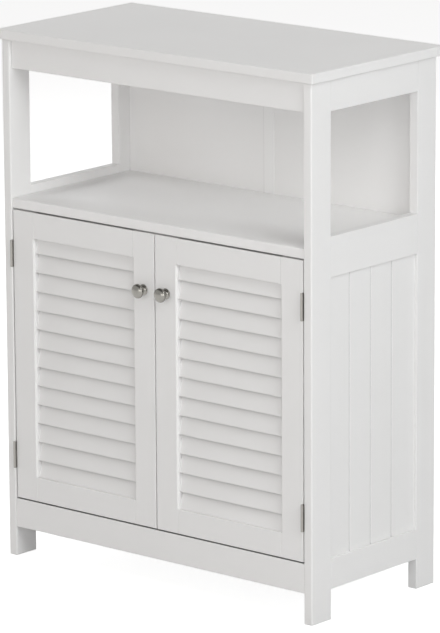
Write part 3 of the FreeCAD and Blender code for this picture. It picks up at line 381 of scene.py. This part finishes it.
# The paints, the plastic and the ferrite carry painted shade in corners and a painted highlight on
# edges.
MATERIALS = {
    "paint_x": satin_paint("satin_white_grain_x", PAINT, "x", CASE_REACH, CASE_TONE, alone=False),
    "paint_shelf": satin_paint("satin_white_shelf", SHELF_PAINT_LIGHTENED, "x", CASE_REACH, CASE_TONE,
                               alone=False),
    # Louvre paint: a darker copy of the white, painted shade, with painted shade between the
    # louvres.
    "paint_slat": satin_paint("satin_white_louvres", SLAT_PAINT_DARKENED, "x", SLAT_REACH, SLAT_TONE),
    # Painted shade at the gaps round the doors.
    "paint_gap": satin_paint("satin_white_at_door_gaps", PAINT, "x", darkest=GAP_TONE, alone=False),
    # Painted shade on the plinth's flat top face, in the gap under the doors.
    "paint_plinth": satin_paint("satin_white_plinth", PAINT, "x", PLINTH_REACH, PLINTH_TONE,
                                alone=False, level=True),
    "paint_bead": satin_paint("satin_white_beadboard", PAINT, "z", BEAD_REACH, BEAD_TONE,
                              highlight_share=BEAD_HIGHLIGHT_SHARE),
    "paint_y": satin_paint("satin_white_grain_y", PAINT, "y", CASE_REACH, CASE_TONE, alone=False),
    "paint_z": satin_paint("satin_white_grain_z", PAINT, "z", CASE_REACH, CASE_TONE, alone=False),
    "paint_stile": satin_paint("satin_white_door_stiles", PAINT, "z"),
    "paint_rail": satin_paint("satin_white_door_rails", PAINT, "x"),
    "board": smooth_board("white_fibreboard", PAINT, 1.0),
    # Painted shadow on the left back panel beside the joint strip.
    "board_seam": smooth_board("white_fibreboard_at_seam", PAINT, SEAM_TONE),
    "plastic": moulded("white_plastic", PLASTIC, PLASTIC_GLOSS),
    "nickel": metal("satin_nickel", NICKEL, NICKEL_GLOSS),
    "hinge": metal("hinge_nickel", HINGE_METAL, HINGE_GLOSS, "z"),
    "zinc": metal("zinc_plate", ZINC, ZINC_GLOSS),
    "cast": metal("cast_zinc", CAST_METAL, CAST_GLOSS),
    "beech": bare_beech("bare_beech"),
    "ferrite": moulded("ferrite", FERRITE, FERRITE_GLOSS),
}

# What each CAD node is made of: by its name, or else by the first ending that fits.
MADE_OF = {
    "paint_x": ["top_panel", "front_apron"],
    "paint_gap": ["cupboard_floor", "left_door_top_rail", "right_door_top_rail"],
    "paint_plinth": ["plinth_rail"],
    "paint_shelf": ["fixed_shelf", "adjustable_shelf"],
    "plastic": ["back_joint_strip", "catch_housings"],
    "board": ["back_panel_right"],
    "board_seam": ["back_panel_left"],
    "beech": ["case_dowels", "left_door_dowels", "right_door_dowels"],
    "cast": ["cam_discs"],
    "ferrite": ["catch_magnets"],
    "hinge": ["hinge_frame_leaves", "hinge_pins", "left_door_hinge_leaves",
              "right_door_hinge_leaves"],
    "zinc": ["cam_bolts", "shelf_pins", "left_strike_plate", "right_strike_plate",
             "hinge_frame_screws", "left_door_hinge_screws", "right_door_hinge_screws",
             "catch_screws", "left_strike_screw", "right_strike_screw", "left_knob_screw",
             "right_knob_screw", "back_panel_screws"],
    "nickel": ["left_knob", "right_knob"],
}
KIND_OF = {node: kind for kind, nodes in MADE_OF.items() for node in nodes}
KIND_BY_ENDING = {
    "_louvres": "paint_slat",
    "_beadboard_panel": "paint_bead",
    "_stile": "paint_stile",
    "_door_bottom_rail": "paint_rail",
    "_rail": "paint_y",
    "_post": "paint_z",
}


def kind_of(node):
    """The material of a CAD node."""
    if node in KIND_OF:
        return KIND_OF[node]
    return next(kind for ending, kind in KIND_BY_ENDING.items() if node.endswith(ending))


def dress_nodes():
    """Gives every CAD node its material."""
    for name, thing in NODES.items():
        thing.data.materials.clear()
        thing.data.materials.append(MATERIALS[kind_of(name)])


# ---------------------------------------------------------------- mesh pieces
# Metres, at or under which two vertices are one, a vertex is on the axis, two heights are one.
WELD = 1e-6
ON_AXIS = 1e-7
SAME_HEIGHT = 1e-5


def new_piece(name, mesh, material, body):
    """A finished mesh object that rides on a body."""
    thing = bpy.data.objects.new(name, mesh)
    bpy.context.collection.objects.link(thing)
    thing.data.materials.append(MATERIALS[material])
    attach(thing, body)
    return thing


def solids_of(node):
    """The vertices of each separate solid of a CAD node, in world coordinates and mesh order."""
    mesh = bmesh.new()
    mesh.from_mesh(NODES[node].data)
    mesh.transform(NODES[node].matrix_world)
    bmesh.ops.remove_doubles(mesh, verts=mesh.verts, dist=WELD)
    reached = set()
    solids = []
    for start in mesh.verts:
        if start in reached:
            continue
        reached.add(start)
        front = [start]
        found = []
        while front:
            vertex = front.pop()
            found.append(vertex.co.copy())
            for edge in vertex.link_edges:
                other = edge.other_vert(vertex)
                if other not in reached:
                    reached.add(other)
                    front.append(other)
        solids.append(found)
    mesh.free()
    return solids


def ring_of(mesh, radius, height, steps):
    """Vertices round the Z axis, or the one on it."""
    if radius < ON_AXIS:
        return [mesh.verts.new((0.0, 0.0, height))]
    return [mesh.verts.new((radius * math.cos(math.tau * i / steps),
                            radius * math.sin(math.tau * i / steps), height))
            for i in range(steps)]


def lathe(profile, steps, matrix):
    """A mesh turned about its own Z from (radius, height) points."""
    mesh = bmesh.new()
    rings = [ring_of(mesh, radius, height, steps) for radius, height in profile]
    for low, high in zip(rings, rings[1:]):
        for step in range(steps):
            after = (step + 1) % steps
            corners = [low[step % len(low)], low[after % len(low)],
                       high[after % len(high)], high[step % len(high)]]
            unique = list(dict.fromkeys(corners))
            if len(unique) > 2:
                mesh.faces.new(unique)
    bmesh.ops.recalc_face_normals(mesh, faces=mesh.faces)
    mesh.transform(matrix)
    made = bpy.data.meshes.new("turned")
    mesh.to_mesh(made)
    mesh.free()
    for face in made.polygons:
        face.use_smooth = True
    return made


def curve_profile(points, samples):
    """A smooth Catmull-Rom run of (radius, height) points through the given ones."""
    smooth = []
    padded = [points[0]] + list(points) + [points[-1]]
    for a, b, c, d in zip(padded, padded[1:], padded[2:], padded[3:]):
        for step in range(samples):
            t = step / samples
            smooth.append(tuple(
                0.5 * (2 * q + (r - p) * t + (2 * p - 5 * q + 4 * r - s) * t * t
                       + (3 * q - p - 3 * r + s) * t ** 3)
                for p, q, r, s in zip(a, b, c, d)))
    smooth.append(points[-1])
    return [(max(radius, 0.0), height) for radius, height in smooth]


KNOB_STEPS = 64           # faces round the knob
KNOB_SAMPLES = 5          # steps of a smooth profile from one of its points to the next
# From the door face outwards, radius and height in millimetres.
KNOB_FOOT = [(0.0, 0.0), (7.8, 0.0), (8.0, 0.3), (8.0, 0.9), (7.6, 1.5)]
KNOB_NECK = [(7.6, 1.5), (6.2, 2.2), (5.0, 3.4), (4.5, 5.0), (4.6, 7.2), (5.4, 8.8), (7.4, 9.9)]
KNOB_HEAD = [(7.4, 9.9), (9.4, 10.8), (10.4, 12.1), (10.55, 13.2), (10.0, 14.8), (8.3, 16.2),
             (5.6, 17.2), (2.8, 17.8), (0.0, 18.0)]


def turned_knobs():
    """The two mushroom knobs, turned, in place of their plain solids."""
    profile = (KNOB_FOOT + curve_profile(KNOB_NECK, KNOB_SAMPLES)[1:]
               + curve_profile(KNOB_HEAD, KNOB_SAMPLES)[1:])
    profile = [(radius * MM, height * MM) for radius, height in profile]
    for side in ("left", "right"):
        node = side + "_knob"
        low, high = (Vector(corner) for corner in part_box(node))
        foot = (low + high) / 2
        foot.y = high.y
        matrix = Matrix.Translation(foot) @ Matrix.Rotation(math.pi / 2, 4, "X")
        knob = new_piece(side + "_turned_knob", lathe(profile, KNOB_STEPS, matrix), "nickel",
                         side + "_door")
        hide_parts(node)


# ---------------------------------------------------------------- screws
SCREW_STEPS = 24          # faces round a screw
# The cross recess, in radii of the head, and its narrower bottom as shares of its mouth.
CROSS_ARM = 0.56
CROSS_HALF_WIDTH = 0.13
CROSS_DEPTH = 0.42
PIT_ARM = 0.4
PIT_HALF_WIDTH = 0.6
# A pan head is one whose rim is nearly as wide as its top: (radius, depth) as shares of its own.
PAN_RIM = 0.95
PAN_PROFILE = [(0.66, 0.0), (0.86, 0.16), (0.97, 0.45), (1.0, 0.8), (1.0, 1.0)]
# A countersunk head has a short upright rim: (radius, depth) in radii of the head.
SUNK_PROFILE = [(0.94, 0.0), (1.0, 0.03)]
TIP_LENGTH = 1.6          # in radii of the shank
TIP_END = 0.25
OUTLINE_DIGITS = (5, 4)   # of a depth and a radius, in metres


def screw_outline(points):
    """Which way a turned screw points: its head's middle, outward direction and outline."""
    low = Vector([min(point[i] for point in points) for i in range(3)])
    high = Vector([max(point[i] for point in points) for i in range(3)])
    axis = max(range(3), key=lambda i: high[i] - low[i])
    middle = (low + high) / 2

    def radius(point):
        offset = point - middle
        offset[axis] = 0.0
        return offset.length

    def widest(end):
        return max(radius(point) for point in points if abs(point[axis] - end) < SAME_HEIGHT)

    head = high[axis] if widest(high[axis]) > widest(low[axis]) else low[axis]
    outward = Vector((0.0, 0.0, 0.0))
    outward[axis] = 1.0 if head == high[axis] else -1.0
    middle[axis] = head
    depth_digits, radius_digits = OUTLINE_DIGITS
    outline = {(round(abs(point[axis] - head), depth_digits), round(radius(point), radius_digits))
               for point in points}
    return middle, outward, sorted(outline, key=lambda spot: (spot[0], -spot[1]))


def cross_of(mesh, arm, half_width, height):
    """The twelve corners of a cross."""
    spots = [(arm, -half_width), (arm, half_width), (half_width, half_width)]
    loop = []
    for turn in range(4):
        c, s = round(math.cos(turn * math.pi / 2)), round(math.sin(turn * math.pi / 2))
        loop += [mesh.verts.new((c * x - s * y, s * x + c * y, height)) for x, y in spots]
    return loop


def joined_rings(mesh, upper, lower, smooth):
    """Faces between two rings with as many vertices as each other."""
    for i, vertex in enumerate(upper):
        after = (i + 1) % len(upper)
        face = mesh.faces.new((vertex, upper[after], lower[after], lower[i]))
        face.smooth = smooth


def add_screw(mesh, points):
    """A cross-recessed screw, with the outline of the plain solid that it stands for."""
    middle, outward, outline = screw_outline(points)
    head_radius = outline[0][1]
    part = bmesh.new()
    base, base_radius = outline[1]
    pan = base_radius > PAN_RIM * head_radius
    if pan:
        profile = [(wide * head_radius, deep * base) for wide, deep in PAN_PROFILE]
    else:
        profile = [(wide * head_radius, deep * head_radius) for wide, deep in SUNK_PROFILE]
    profile += [(radius, depth) for depth, radius in outline[1 + pan:]]
    tip_radius, tip_depth = profile[-1]
    profile[-1] = (tip_radius, tip_depth - TIP_LENGTH * tip_radius)
    profile.append((TIP_END * tip_radius, tip_depth))
    rings = [ring_of(part, radius, -depth, SCREW_STEPS) for radius, depth in profile]
    for upper, lower in zip(rings, rings[1:]):
        joined_rings(part, upper, lower, smooth=True)
    part.faces.new(list(reversed(rings[-1])))
    arm, half_width = CROSS_ARM * head_radius, CROSS_HALF_WIDTH * head_radius
    mouth = cross_of(part, arm, half_width, 0.0)
    pit = cross_of(part, PIT_ARM * arm, PIT_HALF_WIDTH * half_width, -CROSS_DEPTH * head_radius)
    joined_rings(part, pit, mouth, smooth=False)
    part.faces.new(pit)
    rim = [part.edges.get((a, b)) or part.edges.new((a, b))
           for loop in (rings[0], mouth) for a, b in zip(loop, loop[1:] + loop[:1])]
    bmesh.ops.triangle_fill(part, use_beauty=True, edges=rim, normal=(0.0, 0.0, 1.0))
    bmesh.ops.recalc_face_normals(part, faces=part.faces)
    turn = outward.to_track_quat("Z", "Y").to_matrix().to_4x4()
    part.transform(Matrix.Translation(middle) @ turn)
    made = bpy.data.meshes.new("screw")
    part.to_mesh(made)
    part.free()
    mesh.from_mesh(made)
    bpy.data.meshes.remove(made)


def cross_screws(nodes):
    """Cross-recessed screws in place of the plain ones of each node, riding on its body."""
    for node, body in nodes.items():
        mesh = bmesh.new()
        for points in solids_of(node):
            add_screw(mesh, points)
        made = bpy.data.meshes.new(node + "_recessed")
        mesh.to_mesh(made)
        mesh.free()
        screws = new_piece(node + "_recessed", made, "zinc", body)
        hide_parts(node)


# Nodes of screws, each with the body that it rides on.
HINGE_SCREWS = {"hinge_frame_screws": "cabinet", "left_door_hinge_screws": "left_door",
                "right_door_hinge_screws": "right_door"}
OTHER_SCREWS = {"catch_screws": "cabinet", "back_panel_screws": "cabinet",
                "left_strike_screw": "left_door", "left_knob_screw": "left_door",
                "right_strike_screw": "right_door", "right_knob_screw": "right_door"}


# ---------------------------------------------------------------- stage
def either(tree, first, second):
    """The larger of two sockets' values."""
    larger = new_node(tree, "ShaderNodeMath", operation="MAXIMUM")
    tree.links.new(first, larger.inputs[0])
    tree.links.new(second, larger.inputs[1])
    return larger.outputs[0]


def seen_or_mirrored(tree, rays):
    """1 on the rays that show the background: the camera's, and those in metal or glass."""
    shown = either(tree, rays["Is Camera Ray"], rays["Is Glossy Ray"])
    return either(tree, shown, rays["Is Transmission Ray"])


def mixed(tree, share, first, second):
    """The first shader, or the second where the share is 1."""
    mix = new_node(tree, "ShaderNodeMixShader")
    tree.links.new(share, mix.inputs["Fac"])
    tree.links.new(first.outputs[0], mix.inputs[1])
    tree.links.new(second.outputs[0], mix.inputs[2])
    return mix.outputs[0]


def make_floor():
    """A white floor that fades into the background and keeps the object's shadow."""
    bpy.ops.mesh.primitive_plane_add(size=FLOOR_SIZE, location=(0.0, 0.0, 0.0))
    floor = bpy.context.object
    floor.name = "studio_floor"
    material = bpy.data.materials.new("studio_floor")
    material.use_nodes = True
    tree = material.node_tree
    tree.nodes.clear()
    output = new_node(tree, "ShaderNodeOutputMaterial")
    diffuse = new_node(tree, "ShaderNodeBsdfDiffuse")
    diffuse.inputs["Color"].default_value = (*FLOOR_COLOUR, 1.0)
    glow = new_node(tree, "ShaderNodeEmission")
    glow.inputs["Strength"].default_value = FLOOR_GLOW
    black = new_node(tree, "ShaderNodeEmission")
    black.inputs["Strength"].default_value = 0.0
    rays = new_node(tree, "ShaderNodeLightPath").outputs
    total = new_node(tree, "ShaderNodeAddShader")
    tree.links.new(diffuse.outputs[0], total.inputs[0])
    tree.links.new(mixed(tree, seen_or_mirrored(tree, rays), black, glow), total.inputs[1])
    tree.links.new(total.outputs[0], output.inputs["Surface"])
    floor.data.materials.append(material)


def make_world():
    """Even studio surroundings; camera and metal see plain white, metal below a dim ceiling."""
    world = bpy.data.worlds.new("studio")
    bpy.context.scene.world = world
    world.use_nodes = True
    tree = world.node_tree
    tree.nodes.clear()
    output = new_node(tree, "ShaderNodeOutputWorld")
    room = new_node(tree, "ShaderNodeBackground")
    room.inputs["Color"].default_value = (*WORLD_COLOUR, 1.0)
    room.inputs["Strength"].default_value = WORLD_STRENGTH
    white = new_node(tree, "ShaderNodeBackground")
    white.inputs["Strength"].default_value = BACKDROP
    direction = new_node(tree, "ShaderNodeTexCoord")
    height = new_node(tree, "ShaderNodeSeparateXYZ")
    tree.links.new(direction.outputs["Generated"], height.inputs[0])
    below = ranged(tree, height.outputs["Z"], (1.0, 0.0), BACKDROP_TOP)
    rays = new_node(tree, "ShaderNodeLightPath").outputs
    share = new_node(tree, "ShaderNodeMath", operation="MULTIPLY")
    tree.links.new(seen_or_mirrored(tree, rays), share.inputs[0])
    tree.links.new(either(tree, below, rays["Is Camera Ray"]), share.inputs[1])
    tree.links.new(mixed(tree, share.outputs[0], room, white), output.inputs["Surface"])


def aimed(position, target):
    """Matrix of a lamp at position that shines at target."""
    direction = Vector(target) - Vector(position)
    turn = direction.to_track_quat("-Z", "Y").to_matrix().to_4x4()
    return Matrix.Translation(position) @ turn


def make_lights():
    """Large soft boxes, all aimed at the middle of the cabinet."""
    for name, (position, width, height, power, colour, reflected) in LIGHTS.items():
        lamp = bpy.data.lights.new(name, "AREA")
        lamp.shape = "RECTANGLE"
        lamp.size = width
        lamp.size_y = height
        lamp.energy = power
        lamp.color = colour
        thing = bpy.data.objects.new(name, lamp)
        bpy.context.collection.objects.link(thing)
        thing.matrix_world = aimed(position, LAMP_AIM)
        thing.visible_camera = False
        thing.visible_glossy = reflected


def make_camera():
    """A long lens at the photograph's viewing angle."""
    azimuth, elevation, roll = (math.radians(CAMERA[key])
                                for key in ("azimuth", "elevation", "roll"))
    back = Vector((math.sin(azimuth) * math.cos(elevation),
                   -math.cos(azimuth) * math.cos(elevation), math.sin(elevation)))
    right = Vector((math.cos(azimuth), math.sin(azimuth), 0.0))
    up = back.cross(right)
    rolled_right = right * math.cos(roll) + up * math.sin(roll)
    rolled_up = up * math.cos(roll) - right * math.sin(roll)
    place = Vector(CAMERA["target"]) + back * CAMERA["distance"]
    data = bpy.data.cameras.new("camera")
    data.lens = CAMERA["lens"]
    data.sensor_width = CAMERA["sensor"]
    data.clip_start, data.clip_end = CAMERA["clip"]
    camera = bpy.data.objects.new("camera", data)
    bpy.context.collection.objects.link(camera)
    turn = Matrix((rolled_right, rolled_up, back)).transposed().to_4x4()
    camera.matrix_world = Matrix.Translation(place) @ turn
    bpy.context.scene.camera = camera


dress_nodes()
turned_knobs()
cross_screws(HINGE_SCREWS)
cross_screws(OTHER_SCREWS)
make_floor()
make_world()
make_lights()
make_camera()
bpy.context.scene.view_settings.view_transform = "Standard"
